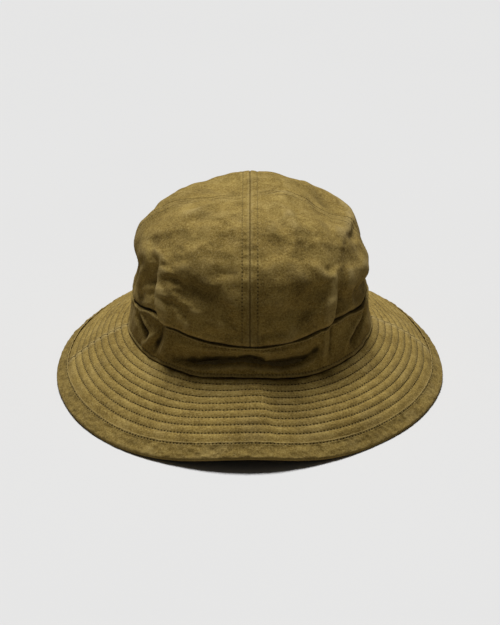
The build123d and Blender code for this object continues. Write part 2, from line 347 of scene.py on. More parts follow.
def cloth_piece(name, outer, thickness, material, fields, ring=False, flipped=False, body="hat"):
    """A closed sheet of cloth under a grid of points, with a search tree of its outer face.

    The points run up the sheet and then to the right, seen from outside. A flipped grid runs down.
    """
    if flipped:
        outer = outer[::-1]
        fields = {field: np.broadcast_to(values, outer.shape[:2] + values.shape[2:])[::-1]
                  for field, values in fields.items()}
    rows, columns = outer.shape[:2]
    count = rows * columns
    inner = outer - grid_normals(outer, ring) * thickness
    outer_faces = grid_faces(rows, columns, ring, 0, False)
    inner_faces = grid_faces(rows, columns, ring, count, True)
    edge_faces = rim_faces(rows, columns, ring, count)
    points = np.concatenate([outer.reshape(-1, 3), inner.reshape(-1, 3)])
    faces = np.concatenate([outer_faces, inner_faces, edge_faces]).tolist()
    made = new_object(name, points, faces, material, body)
    for field, values in fields.items():
        values = np.broadcast_to(values, outer.shape[:2] + np.shape(values)[2:])
        flat = values.reshape((count,) + values.shape[2:])
        set_field(made.data, field, np.concatenate([flat, flat]))
    trees[name] = BVHTree.FromPolygons(outer.reshape(-1, 3).tolist(), outer_faces.tolist())


def row_field(distance, phase, strength=1.0):
    """A point's distance from a row of stitches, its phase along it, and how deep its holes look."""
    return np.stack(np.broadcast_arrays(distance, phase, strength), axis=-1)


def weave_field(across, along):
    """A point's place on the flat cloth, in millimetres."""
    return np.stack(np.broadcast_arrays(across, along, 0.0), axis=-1)


def lengths(points):
    """Distance travelled along a line of points."""
    steps = np.linalg.norm(np.diff(points, axis=0), axis=1)
    return np.concatenate([[0], np.cumsum(steps)])


stitch_stations = np.array([0.0, 0.16, 0.5, 0.84, 1.0])
stitch_height = np.array([-0.34, -0.02, 0.10, -0.02, -0.34])
stitch_girth = np.array([0.7, 0.95, 1.0, 0.95, 0.7])
stitch_sides = 6
stitch_radius = 0.24
stitch_share = 0.74  # of the pitch that shows above the cloth


def stitches(name, rows, cloths):
    """A lock stitch for every pitch along each row, laid on the cloth nearest to it.

    A row is a line of points with the distance travelled at each of them.
    """
    found = [trees[c] for c in cloths]
    places, normals = [], []
    for line, travelled in rows:
        first = math.ceil(travelled[0] / stitch_pitch + 0.5)
        numbers = np.arange(first, travelled[-1] / stitch_pitch - 0.5)
        wanted = (numbers[:, None] + (stitch_stations - 0.5) * stitch_share) * stitch_pitch
        spots = np.stack([np.interp(wanted, travelled, line[:, k]) for k in range(3)], axis=-1)
        for stitch in spots:
            hits = []
            for spot in stitch:
                near = min((t.find_nearest(spot.tolist()) for t in found), key=lambda h: h[3])
                hits.append((near[0], near[1]))
            places.append([list(h[0]) for h in hits])
            normals.append([list(h[1]) for h in hits])
    places = np.array(places)
    normals = np.array(normals)
    tangents = np.gradient(places, axis=1)
    tangents /= np.maximum(np.linalg.norm(tangents, axis=-1, keepdims=True), 1e-9)
    sides = np.cross(tangents, normals)
    middle = places + normals * stitch_height[None, :, None]
    around = np.arange(stitch_sides) * 2 * math.pi / stitch_sides
    spread = stitch_radius * stitch_girth[None, :, None, None]
    ring = np.cos(around)[:, None] * sides[:, :, None] + np.sin(around)[:, None] * normals[:, :, None]
    points = middle[:, :, None] + spread * ring
    total = len(places)
    stations = len(stitch_stations)
    base = grid_faces(stations, stitch_sides, True, 0, True)
    block = stations * stitch_sides
    quads = (base[None] + (np.arange(total) * block)[:, None, None]).reshape(-1, 4).tolist()
    caps = []
    for number in range(total):
        first = number * block
        caps.append(list(range(first, first + stitch_sides)))
        caps.append(list(range(first + block - 1, first + block - 1 - stitch_sides, -1)))
    new_object(name, points, quads + caps, thread)


# ---------------------------------------------------------------- materials


class Graph:
    """Short names for building a material's nodes."""

    def __init__(self, name):
        self.material = bpy.data.materials.new(name)
        self.material.use_nodes = True
        self.tree = self.material.node_tree
        self.tree.nodes.clear()

    def add(self, kind, inputs=None, **settings):
        made = self.tree.nodes.new(kind)
        for key, value in settings.items():
            setattr(made, key, value)
        for key, value in (inputs or {}).items():
            if isinstance(value, bpy.types.NodeSocket):
                self.tree.links.new(value, made.inputs[key])
            else:
                made.inputs[key].default_value = value
        return made

    def math(self, operation, first, second=0.0, third=0.0, clamp=False):
        inputs = {0: first, 1: second, 2: third}
        return self.add("ShaderNodeMath", inputs, operation=operation, use_clamp=clamp).outputs[0]

    def field(self, name, output="Fac"):
        return self.add("ShaderNodeAttribute", attribute_name=name).outputs[output]

    def noise(self, vector, size_mm, detail=2.0, roughness=0.5):
        inputs = {"Vector": vector, "Scale": 1 / (size_mm * MM), "Detail": detail, "Roughness": roughness}
        return self.add("ShaderNodeTexNoise", inputs).outputs["Fac"]

    def remap(self, value, low, high, new_low=0.0, new_high=1.0):
        inputs = {0: value, 1: low, 2: high, 3: new_low, 4: new_high}
        return self.add("ShaderNodeMapRange", inputs).outputs[0]

    def mix(self, factor, first, second):
        inputs = {0: factor, 6: first, 7: second}
        return self.add("ShaderNodeMix", inputs, data_type="RGBA").outputs[2]

    def output(self, shader):
        self.add("ShaderNodeOutputMaterial", {"Surface": shader})
        return self.material


def rgb(red, green, blue):
    return (red, green, blue, 1.0)


def hole_mask(graph, field):
    """1 in the needle holes of a row of stitches, 0 away from them."""
    parts = graph.add("ShaderNodeSeparateXYZ", {0: graph.field(field, "Vector")}).outputs
    along = graph.math("SUBTRACT", graph.math("FRACT", parts[1]), 0.5)
    along = graph.math("MULTIPLY", along, stitch_pitch / 0.66)
    across = graph.math("MULTIPLY", parts[0], 1 / 0.55)
    squared = graph.math("ADD", graph.math("MULTIPLY", along, along), graph.math("MULTIPLY", across, across))
    return graph.math("MULTIPLY", graph.remap(squared, 0.4, 1.6, 1.0, 0.0), parts[2])


def twill_material(name, dark, middle, light, worn, pitch=0.85, rows=True):
    """Washed cotton twill: mottled colour, a diagonal weave, pale worn ridges, painted shade and needle holes
    painted dark as shade.
    """
    g = Graph(name)
    place = g.add("ShaderNodeTexCoord").outputs["Object"]
    clouds = g.noise(place, 26, 2)
    patches = g.noise(place, 7.5, 3, 0.6)
    grain = g.noise(place, 1.7, 3, 0.75)
    cloth = g.field("cloth", "Vector")
    stretch = {0: cloth, 1: (0.16, 1.1, 1.0)}
    stretched = g.add("ShaderNodeVectorMath", stretch, operation="MULTIPLY").outputs[0]
    streaks = g.add("ShaderNodeTexNoise", {"Vector": stretched, "Scale": 1.0, "Detail": 2.0}).outputs["Fac"]
    flecks = g.noise(place, 1.05, 2, 0.6)
    tone = g.math("MULTIPLY", clouds, 0.22)
    tone = g.math("MULTIPLY_ADD", patches, 0.22, tone)
    tone = g.math("MULTIPLY_ADD", grain, 0.42, tone)
    tone = g.math("MULTIPLY_ADD", streaks, 0.14, tone)
    ramp = g.add("ShaderNodeValToRGB", {0: tone})
    stops = ramp.color_ramp.elements
    stops[0].position, stops[0].color = 0.38, dark
    stops[1].position, stops[1].color = 0.63, light
    stops.new(0.5).color = middle
    parts = g.add("ShaderNodeSeparateXYZ", {0: cloth}).outputs
    diagonal = g.math("ADD", parts[0], g.math("MULTIPLY", parts[1], 1.6))
    wobble = g.noise(place, 3.0, 2)
    diagonal = g.math("MULTIPLY_ADD", wobble, 0.8, diagonal)
    weave = g.math("SINE", g.math("MULTIPLY", diagonal, 2 * math.pi / (pitch * 1.9)))
    ribs = g.remap(weave, -1.0, 1.0, 0.0, 1.0)
    colour = g.mix(g.math("MULTIPLY", ribs, 0.12), ramp.outputs[0], worn)
    colour = g.mix(g.remap(flecks, 0.53, 0.70, 0.0, 0.62), colour, dark)
    colour = g.mix(g.remap(flecks, 0.45, 0.30, 0.0, 0.48), colour, worn)
    wear = g.field("wear")
    ragged = g.math("MULTIPLY", wear, g.remap(grain, 0.3, 0.7, 0.55, 1.25), clamp=True)
    colour = g.mix(ragged, colour, worn)
    # painted shade: a field of each mesh darkens the colour towards near black in seams, recesses and fold
    # valleys, and also adds random darker tone
    painted_shade_and_tone = g.math("MULTIPLY", g.field("painted_shade_and_tone"), g.remap(patches, 0.3, 0.7, 0.8, 1.1), clamp=True)
    colour = g.mix(painted_shade_and_tone, colour, rgb(0.028, 0.019, 0.006))
    height = g.math("MULTIPLY", weave, 0.035)
    height = g.math("MULTIPLY_ADD", grain, 0.5, height)
    height = g.math("MULTIPLY_ADD", patches, 0.5, height)
    if rows:
        # painted shade: the needle holes are darkened to near black, as shade in them, and sunk a little
        holes = g.math("MAXIMUM", hole_mask(g, "seam_a"), hole_mask(g, "seam_b"))
        colour = g.mix(g.math("MULTIPLY", holes, 0.86), colour, rgb(0.018, 0.012, 0.004))
        height = g.math("MULTIPLY_ADD", holes, -0.35, height)
    bump = g.add("ShaderNodeBump", {"Height": height, "Strength": 0.8, "Distance": MM}).outputs[0]
    shader = g.add(
        "ShaderNodeBsdfPrincipled",
        {
            "Base Color": colour,
            "Roughness": 0.93,
            "Specular IOR Level": 0.08,
            "Sheen Weight": 0.08,
            "Sheen Roughness": 0.45,
            "Sheen Tint": rgb(0.75, 0.66, 0.45),
            "Normal": bump,
        },
    ).outputs[0]
    return g.output(shader)


def thread_material(name, dark, light):
    """Spun thread: a fine twist and a slight lustre."""
    g = Graph(name)
    place = g.add("ShaderNodeTexCoord").outputs["Object"]
    wave_inputs = {"Vector": place, "Scale": 900.0, "Distortion": 2.0, "Detail": 1.0}
    twist = g.add("ShaderNodeTexWave", wave_inputs, bands_direction="DIAGONAL").outputs["Fac"]
    tone = g.noise(place, 4.0, 2)
    colour = g.mix(g.math("MULTIPLY_ADD", twist, 0.35, tone, clamp=True), dark, light)
    bump = g.add("ShaderNodeBump", {"Height": twist, "Strength": 0.4, "Distance": 0.1 * MM}).outputs[0]
    inputs = {"Base Color": colour, "Roughness": 0.7, "Specular IOR Level": 0.25, "Normal": bump}
    return g.output(g.add("ShaderNodeBsdfPrincipled", inputs).outputs[0])


olive = twill_material(
    "olive_twill",
    rgb(0.140, 0.090, 0.019), rgb(0.290, 0.198, 0.050), rgb(0.440, 0.318, 0.094), rgb(0.520, 0.400, 0.170),
)
lining_twill = twill_material(
    "sweatband_twill",
    rgb(0.130, 0.095, 0.036), rgb(0.180, 0.135, 0.055), rgb(0.235, 0.180, 0.080), rgb(0.300, 0.240, 0.130),
    pitch=0.6,
)
tape_cloth = twill_material(
    "seam_tape",
    rgb(0.120, 0.086, 0.030), rgb(0.165, 0.120, 0.045), rgb(0.215, 0.160, 0.066), rgb(0.270, 0.215, 0.110),
    pitch=0.5, rows=False,
)
canvas = twill_material(
    "interlining",
    rgb(0.42, 0.38, 0.29), rgb(0.52, 0.48, 0.38), rgb(0.60, 0.56, 0.46), rgb(0.66, 0.62, 0.52),
    pitch=1.2, rows=False,
)
satin = twill_material(
    "label_tape",
    rgb(0.60, 0.57, 0.49), rgb(0.68, 0.65, 0.57), rgb(0.74, 0.71, 0.63), rgb(0.80, 0.77, 0.69),
    pitch=0.35, rows=False,
)
thread = thread_material("thread", rgb(0.150, 0.103, 0.028), rgb(0.330, 0.240, 0.075))


# ---------------------------------------------------------------- crown


# A fold is a line of places, its height, and its widths on the left and the right of the line.
# A bulge is its middle, its size and its height. Heights below zero are valleys and dents.
side_folds = [
    ([(-66, 58), (-71, 70), (-75, 84), (-78, 98), (-84, 118)], 4.4, 2.4, 13),
    ([(-76, 60), (-81, 74), (-86, 90), (-92, 108)], -4.2, 9, 4),
    ([(-118, 78), (-112, 92), (-104, 106)], 2.0, 5, 4),
    ([(60, 60), (65, 76), (69, 92), (73, 110)], 3.4, 9, 2.4),
    ([(69, 62), (74, 76), (78, 92)], -2.4, 3.0, 4.0),
    ([(80, 82), (86, 94), (92, 108)], 2.4, 3.0, 6),
    ([(106, 78), (116, 90), (134, 104)], 2.2, 6, 6),
    ([(108, 121), (132, 117), (154, 119)], -3.0, 3.5, 3.5),
    ([(-40, 68), (-37, 73), (-36, 79)], 0.9, 1.6, 1.6),
    ([(-50, 70), (-46, 76), (-46, 82)], 0.8, 1.6, 1.6),
    ([(14, 84), (34, 90), (52, 84)], -1.4, 6, 6),
    ([(-64, 112), (-44, 104), (-22, 108)], -1.4, 6, 7),
]
side_bulges = [
    ((-99, 82), (11, 20), -3.0),
    ((-144, 112), (26, 11), 1.6),
    ((-136, 93), (22, 9), -2.6),
    ((80, 84), (9, 15), -4.6),
    ((138, 98), (26, 9), 1.6),
    ((122, 82), (20, 8), -3.8),
    ((-56, 76), (26, 9), 1.6),
    ((-20, 80), (24, 16), 0.8),
    ((30, 78), (20, 14), 1.2),
    ((-142, 78), (40, 16), -2.2),
    ((142, 78), (40, 16), -2.6),
]
top_folds = [
    ([(-8, -12), (-28, -24), (-54, -36)], 2.2, 6, 8),
    ([(-16, -26), (-34, -42), (-50, -56)], -1.8, 9, 9),
    ([(6, -12), (14, -32), (26, -60)], -2.6, 5, 5),
    ([(12, -16), (26, -38), (40, -66)], 2.0, 6, 7),
]
top_bulges = [
    ((-26, 34), (30, 36), -6.0),
    ((64, 16), (26, 44), -10.5),
    ((-8, 10), (44, 34), -6.6),
]
crown_round = 1.6  # millimetres round the crown's side for each degree


def creased(u, v, folds, bulges=()):
    """All the folds and bulges of a list together."""
    total = sum(fold(u, v, line, height, left, right) for line, height, left, right in folds)
    return total + sum(swelling(u, v, middle, size, height) for middle, size, height in bulges)


def crown_folds(turn, points):
    """How far the crown's cloth stands off its smooth shape where it is folded or dented."""
    x, y, z = points[..., 0], points[..., 1], points[..., 2]
    side = signed_turn(turn) * crown_round
    low = ease(z, 144, 122)  # folds on the crown's side die out towards the top
    high = ease(z, 118, 134)  # and folds on its top die out down the side
    relief = 0.7 * ripple(points, 48, 11) + 0.30 * ripple(points, 17, 12)
    relief += low * creased(side, z, side_folds, side_bulges)
    return relief + high * creased(x, y, top_folds, top_bulges)


# ---------------------------------------------------------------- wrinkles, by cloth simulation


settle_reach = 0.97  # of the crown, above which it is closed with a fan
settle_hold = 0.08  # how firmly the cloth is held to its place
settle_spare = 0.06  # how much too large it is cut
settle_frames = 30
settle_cap = 1.0  # tallest wrinkle that is kept
settle_wrap = 12  # columns that the blur needs past the joint of the ring
settle_cloth = {
    "quality": 5,
    "mass": 0.02,
    "tension_stiffness": 12,
    "compression_stiffness": 12,
    "shear_stiffness": 5,
    "bending_stiffness": 2.0,
    "tension_damping": 5,
    "compression_damping": 5,
    "shrink_min": -settle_spare,
    "vertex_group_mass": "held",
}


def settled_wrinkles(rows=46, columns=168):
    """Fine wrinkles of the crown, in millimetres along its normals, over its reach and its turn.

    The crown's cloth, a little too large for its shape, buckles and comes to rest on its seam.
    """
    turns = (np.arange(columns) * 360 / columns)[None, :]
    reach = np.linspace(0, settle_reach, rows)[:, None]
    base, normal = crown_base(turns, reach)
    start = base + normal * (crown_folds(turns, base) + 0.15 * ripple(base, 9, 91))[..., None]
    apex = start[-1].mean(axis=0)
    points = np.concatenate([start.reshape(-1, 3), [apex]])
    last = (rows - 1) * columns
    caps = [(last + j, last + (j + 1) % columns, rows * columns) for j in range(columns)]
    mesh = bpy.data.meshes.new("settling")
    mesh.from_pydata((points * MM).tolist(), [], grid_faces(rows, columns, True, 0, False).tolist() + caps)
    made = bpy.data.objects.new("settling", mesh)
    scene = bpy.context.scene
    scene.collection.objects.link(made)
    held = made.vertex_groups.new(name="held")
    held.add(list(range(rows * columns + 1)), settle_hold, "REPLACE")
    held.add(list(range(2 * columns)), 1.0, "REPLACE")
    cloth = made.modifiers.new("settle", "CLOTH")
    for setting, value in settle_cloth.items():
        setattr(cloth.settings, setting, value)
    cloth.point_cache.frame_start = 1
    cloth.point_cache.frame_end = settle_frames
    for number in range(1, settle_frames + 1):
        scene.frame_set(number)
    rested = made.evaluated_get(bpy.context.evaluated_depsgraph_get())
    settled = np.zeros(len(points) * 3)
    rested.to_mesh().vertices.foreach_get("co", settled)
    settled = settled.reshape(-1, 3)[:-1].reshape(rows, columns, 3) / MM
    moved = ((settled - start) * normal).sum(axis=-1)
    rested.to_mesh_clear()
    bpy.data.objects.remove(made)
    bpy.data.meshes.remove(mesh)
    scene.frame_set(1)
    wide = np.pad(moved, ((0, 0), (settle_wrap, settle_wrap)), mode="wrap")
    fine = (wide - blurred(wide, 6))[:, settle_wrap:-settle_wrap]
    capped = settle_cap * np.tanh(fine / settle_cap)
    return capped * ease(reach, 0.0, 0.06) * ease(reach, settle_reach, 0.90)


wrinkles = settled_wrinkles()


def wrinkle_relief(turn, reach):
    """The simulated wrinkles at any turn and reach, between the points of their grid."""
    rows, columns = wrinkles.shape
    u = np.broadcast_to(turn, np.broadcast_shapes(np.shape(turn), np.shape(reach))) % 360 / 360 * columns
    v = np.clip(reach / settle_reach, 0, 1) * (rows - 1) + 0 * u
    i, j = np.minimum(v.astype(int), rows - 2), u.astype(int) % columns
    a, b = v - i, u - u.astype(int)
    k = (j + 1) % columns
    low = wrinkles[i, j] * (1 - b) + wrinkles[i, k] * b
    high = wrinkles[i + 1, j] * (1 - b) + wrinkles[i + 1, k] * b
    return low * (1 - a) + high * a


def seam_relief(distance, along):
    """A crown seam: a sharp valley, a roll on each side, and a row of stitches in each roll."""
    valley = -0.55 * bell(distance, 0, 0.55)
    layers = 0.40 * ease(distance, 9.5, 7.0)
    row = -0.28 * bell(distance, row_offset, 0.9)
    inside = ease(distance, 6.2, 4.2) * ease(distance, 0.2, 1.2)
    waves = np.cos(along * 2 * math.pi / 5.2 + 1.3 * np.sin(along / 9.0))
    pucker = 0.30 * inside * waves * (0.6 + 0.4 * np.sin(along / 14.0 + 0.7))
    return valley + layers + row + pucker


def crown_rise(turn, height):
    """How far the crown is lifted, which dies out above its foot."""
    return crown_wave(turn) * bell(height, crown_foot, 30)


def crown_surface(turn, reach):
    """The crown with its folds and seams, and the smooth place of each of its points."""
    base, normal = crown_base(turn, reach)
    x, y = base[..., 0], base[..., 1]
    relief = crown_folds(turn, base) + seam_relief(np.abs(x), y) + seam_relief(np.abs(y), x)
    travelled = reach * crown_arc
    relief = relief + 0.9 * bell(travelled, 3.4, 2.6) - 0.5 * bell(travelled, 0, 0.9)
    seam_distance = np.minimum(np.abs(x), np.abs(y))
    calm = (0.3 + 0.7 * ease(seam_distance, 4, 12)) * (1 - 0.5 * bell(fold_turn(turn), 90, 22))
    relief = relief + wrinkle_relief(turn, reach) * calm
    place = base + normal * relief[..., None]
    place[..., 2] += crown_rise(turn, base[..., 2])
    return place, base


def spaced(length, near_steps, far_step):
    """Places from 0 to length: near_steps from both ends, and far_step between them."""
    near = np.cumsum(near_steps)
    count = max(int((length - 2 * near[-1]) / far_step), 1)
    middle = np.linspace(near[-1], length - near[-1], count + 1)
    return np.concatenate([[0], near[:-1], middle, (length - near[:-1])[::-1], [length]])


def crown_gore(name, first_turn):
    """A quarter of the crown between two seams."""
    seam_steps = [0.3, 0.4, 0.4, 0.5, 0.6, 0.7, 0.8, 0.8, 0.7, 0.5, 0.5, 0.6, 0.7, 0.8, 0.9, 1.0, 1.2]
    quarter = math.pi / 2 * crown_half_width
    around = spaced(quarter, seam_steps, 1.5) / quarter * 90
    turn = (first_turn + around)[None, :]
    up = np.concatenate([np.linspace(0, 0.985, 112), [0.992, 0.9965, 0.999]])
    reach = up[:, None]
    outer, base = crown_surface(turn, reach)
    x, y, z = base[..., 0], base[..., 1], base[..., 2]
    travelled = reach * crown_arc + 0 * turn
    # how strongly the painted shade in the centre rows' needle holes shows, most about 108 mm up
    seen = 0.30 + 0.55 * bell(z, 108, 22)
    centre_row = row_field(np.abs(x) - row_offset, travelled / stitch_pitch, seen)
    cross_row = row_field(np.abs(y) - row_offset, travelled / stitch_pitch, 0.6)
    seam_distance = np.minimum(np.abs(x), np.abs(y))
    relief = crown_folds(turn, base) + 0.7 * wrinkle_relief(turn, reach)
    raised = relief - blurred(relief, 14)
    wear = 0.22 * bell(seam_distance, 1.3, 0.8) + 0.20 * bell(travelled, 2.2, 1.0)
    wear = wear + 0.10 * ease(ripple(base, 22, 31), 0.4, 1.8) + 0.45 * ease(raised, 0.35, 1.8)
    # painted shade: darker in the seam grooves, along the crown's foot where it meets the band, in the fold
    # valleys and on a patch left of the front about 104 mm up; the ripple term adds random darker tone
    painted_shade_and_tone = 0.55 * bell(seam_distance, 0, 0.38) + 0.16 * ease(ripple(base, 26, 32), 0.3, 1.6)
    painted_shade_and_tone = painted_shade_and_tone + 0.9 * bell(travelled, 0, 0.55) + 0.40 * ease(-raised, 0.4, 2.6)
    painted_shade_and_tone = painted_shade_and_tone + swelling(signed_turn(turn), z, (-25, 104), (18, 17), 0.34)
    middle_angle = np.radians(around - 45)[None, :]
    cloth = weave_field(middle_angle * np.hypot(x, y), travelled)
    fields = {"seam_a": centre_row, "seam_b": cross_row, "wear": wear, "painted_shade_and_tone": painted_shade_and_tone, "cloth": cloth}
    cloth_piece(name, outer, crown_twill, olive, fields)


gores = {
    "cloth_crown_front_right": 0,
    "cloth_crown_rear_right": 90,
    "cloth_crown_rear_left": 180,
    "cloth_crown_front_left": 270,
}
for gore_name, gore_turn in gores.items():
    crown_gore(gore_name, gore_turn)


# ---------------------------------------------------------------- side band


band_folds = [
    ([(-66, 6), (-42, 8), (-18, 10.5), (-2, 12), (12, 10.5)], -6.8, 6.5, 2.2),
    ([(-10, 11), (10, 9.5), (24, 8.5), (42, 10.5), (58, 16)], -6.4, 5.5, 2.2),
    ([(-60, 18), (-20, 19), (20, 18.5), (50, 20)], 1.6, 2.5, 4.5),
    ([(-112, 22), (-100, 15), (-88, 11)], -3.6, 3.0, 3.0),
    ([(-108, 25), (-96, 19), (-84, 14)], 1.4, 1.6, 1.6),
    ([(-98, 3), (-90, 8), (-78, 17), (-74, 27)], 2.2, 2.4, 2.4),
    ([(-72, 4), (-68, 16), (-66, 30)], 2.6, 2.2, 6.0),
    ([(-80, 4), (-76, 16), (-74, 30)], -2.2, 4.0, 3.0),
    ([(124, 20), (112, 16), (98, 12), (86, 7)], -5.0, 3.2, 3.2),
    ([(110, 22), (96, 18), (84, 13), (76, 6)], 2.0, 2.4, 2.4),
    ([(62, 30), (58, 16), (54, 5)], 2.4, 6.0, 2.2),
    ([(69, 30), (65, 16), (61, 5)], -2.0, 3.0, 3.0),
]


def band_relief(turn, share):
    """Folds and seams of the side band; share runs up it from 0 to 1."""
    side = signed_turn(turn) * crown_round
    up = share * (band_top - seam_z(turn))
    place = ring_place(turn, 0, up)
    relief = 0.35 * ripple(place, 30, 41) + 0.14 * ripple(place, 11, 42) + creased(side, up, band_folds)
    relief += 0.9 * ease(share, 0.86, 0.93) - 0.4 * bell(up, band_top - seam_z(turn) - band_row, 0.8)
    relief += 0.55 * bell(up, 1.0, 1.2) - 0.35 * bell(up, 2.5, 0.8)
    return relief


def band_surface(turn, share):
    """The side band's outer face."""
    foot = seam_z(turn) - 0.2
    up = foot + (band_top - foot) * share
    relief = band_relief(turn, share)
    place = ring_place(turn, -band_lean * share - 2.6 * ease(share, 0.955, 1.0) + relief, up)
    place[..., 2] += crown_wave(turn) * share**1.5 - seam_dip(turn) * (1 - share)
    return place


ring_turns = np.arange(720) * 0.5
band_shares = np.concatenate([np.linspace(0, 0.2, 12), np.linspace(0.22, 0.82, 26), np.linspace(0.84, 1, 14)])
band_grid = band_surface(ring_turns[None, :], band_shares[:, None])
band_travel = ring_turns * band_round
band_up = band_shares[:, None] * (band_top - seam_z(ring_turns))[None, :]
band_height = (band_top - seam_z(ring_turns))[None, :]
band_shape = band_relief(ring_turns[None, :], band_shares[:, None])
band_raised = band_shape - blurred(band_shape, 10)
# painted shade on the band: darker in its fold valleys, at its top under the crown's foot and at its foot
# against the brim, with a broad darker patch left of the front
band_fields = {
    "seam_a": row_field(band_up - band_row, band_travel[None, :] / stitch_pitch, 0.45),
    "seam_b": row_field(band_height - band_up - band_row, band_travel[None, :] / stitch_pitch, 0.5),
    "wear": 0.35 * bell(band_height - band_up, 1.5, 0.6) + 0.3 * bell(band_up, 1.2, 0.9)
    + 0.30 * ease(band_raised, 0.3, 1.4),
    "painted_shade_and_tone": 0.85 * ease(-band_raised, 0.3, 1.6) + 0.8 * bell(band_height - band_up, 0, 0.7)
    + 0.16 * bell(signed_turn(ring_turns), -52, 26)[None, :]
    + 0.6 * bell(band_up, 0, 0.4),
    "cloth": weave_field(band_travel[None, :], band_up),
}
cloth_piece("cloth_side_band", band_grid, twill, olive, band_fields, ring=True)


# ---------------------------------------------------------------- brim


def brim_wave(turn, slope):
    """Slow unevenness of the whole brim, that all its layers share."""
    place = brim_place(turn, slope, 0)
    fade = ease(slope, 0.0, 0.35) * (1 - 0.6 * ease(slope, 0.7, 1.0))
    side = signed_turn(turn) * 2.3 + 0 * slope
    down = slope * brim_length + 0 * turn
    crease = fold(side, down, [(8, 3), (11, 28), (14, 62)], 2.0, 16, 3.0)
    crease += swelling(side, down, (36, 32), (22, 28), -2.2)
    return 0.8 * ripple(place, 70, 51) * fade + crease


def quilting_relief(slope_mm):
    """Rounded channels between the rings of quilting."""
    row = np.clip(np.round(slope_mm / quilting_pitch), 0, quilting_rows)
    distance = np.abs(slope_mm - row * quilting_pitch)
    puff = np.abs(np.sin(math.pi * slope_mm / quilting_pitch)) ** 1.1
    return (0.62 * puff - 0.10 * bell(distance, 0, 0.5)) * ease(slope_mm, 60, 57)


def brim_relief(turn, slope):
    """How far the brim's top ply stands off its smooth shape."""
    slope_mm = slope * brim_length + 0 * turn
    side = signed_turn(turn - brim_turn)
    place = brim_place(turn, slope, 0)
    relief = quilting_relief(slope_mm) - 0.3
    relief += 0.10 * ripple(place, 9, 52) * ease(slope_mm, 60, 57)
    for seam in (-90, 90):
        distance = (side - seam) * 2.1
        relief += (1.0 * bell(distance, 0, 2.4) - 0.7 * bell(distance, 0, 0.5)) * ease(slope_mm, 60, 57)
    return relief


def quilting_steps():
    """Slopes of a ply's rows, close together at each ring of quilting."""
    steps = np.array([-3.0, -2.2, -1.5, -0.9, -0.45, 0.0, 0.45, 0.9, 1.5, 2.2, 3.0])
    places = [row * quilting_pitch + steps for row in range(1, quilting_rows + 1)]
    first = np.array([-1.5, 0.0, 1.0, 2.0, 2.8])
    last = np.linspace(quilting_rows * quilting_pitch + 4, brim_length - 1.0, 10)
    return np.unique(np.concatenate([first] + places + [last]).round(2)) / brim_length


def half_turns(first):
    """Turns of one half of the brim, which starts at its side seam."""
    return first + np.linspace(0, 180, 361)


def quilting_line(turns, row, side=1):
    """A ring of quilting over (1) or under (-1) the brim, and the distance travelled on its top."""
    slope = row * quilting_pitch / brim_length
    travelled = lengths(brim_place(turns, slope, brim_thickness / 2))
    return brim_place(turns, slope, side * brim_thickness / 2), travelled


def brim_ply(name, first_turn, under=False):
    """Half of the brim's top ply, or of the ply under it."""
    turns = half_turns(first_turn)
    slopes = quilting_steps()
    turn, slope = turns[None, :], slopes[:, None]
    wave = brim_wave(turn, slope)
    if under:
        above = -brim_thickness / 2 + 0.3 - 0.7 * quilting_relief(slope * brim_length) + wave
    else:
        drop = 1.2 * ease(slope * brim_length, 0.8, -1.2)
        above = brim_thickness / 2 + brim_relief(turn, slope) - drop + wave
    grid = brim_place(turn, slope, above)
    nearest = np.clip(np.round(slopes * brim_length / quilting_pitch), 1, quilting_rows)
    distance = np.abs(slopes * brim_length - nearest * quilting_pitch)
    phase = np.zeros((len(slopes), len(turns)))
    for row in range(1, quilting_rows + 1):
        phase[nearest == row] = quilting_line(turns, row)[1] / stitch_pitch
    place = brim_place(turn, slope, 0)
    side = signed_turn(turn - brim_turn)
    seam_distance = np.minimum(np.abs(side - 90), np.abs(side + 90)) * 2.1 + 0 * slope
    wear = 0.55 * bell(seam_distance, 1.6, 1.6) + 0.12 * ease(ripple(place, 30, 61), 0.2, 1.8)
    # painted shade: darker along the side seams, the quilting rows, the brim's inner edge at the head seam
    # and the dent right of the front
    painted_shade_and_tone = 0.5 * bell(seam_distance, 0, 0.35) + 0.05 * bell(distance[:, None], 0, 0.6)
    painted_shade_and_tone = painted_shade_and_tone + 0.7 * bell(slope * brim_length, 0, 0.6)
    painted_shade_and_tone = painted_shade_and_tone + 0.12 * swelling(signed_turn(turn), slope * brim_length, (16, 30), (12, 30), 1.5)
    round_mm = quilting_line(turns, 4)[1]
    cloth = weave_field(round_mm[None, :], slope * brim_length)
    fields = {"seam_a": row_field(distance[:, None], phase), "wear": wear, "painted_shade_and_tone": painted_shade_and_tone, "cloth": cloth}
    cloth_piece(name, grid, twill, olive, fields, flipped=not under)


front_start = brim_turn - 90
rear_start = brim_turn + 90
brim_ply("cloth_brim_top_front", front_start)
brim_ply("cloth_brim_top_rear", rear_start)
brim_ply("cloth_brim_under_front", front_start, under=True)
brim_ply("cloth_brim_under_rear", rear_start, under=True)


def brim_canvas(name, first_turn):
    """Half of the stiff canvas between the brim's plies."""
    turn = (first_turn + np.linspace(0.3, 179.7, 120))[None, :]
    slope = np.linspace(0.02, 0.985, 30)[:, None]
    grid = brim_place(turn, slope, 0.2 + brim_wave(turn, slope))
    fields = {"cloth": weave_field(turn * 2.0, slope * brim_length)}
    cloth_piece(name, grid, 0.4, canvas, fields, flipped=True)


brim_canvas("cloth_brim_interlining_front", front_start)
brim_canvas("cloth_brim_interlining_rear", rear_start)


# ---------------------------------------------------------------- binding of the brim's edge

binding_leg = binding_width - binding_half
binding_row = binding_leg - 1.5


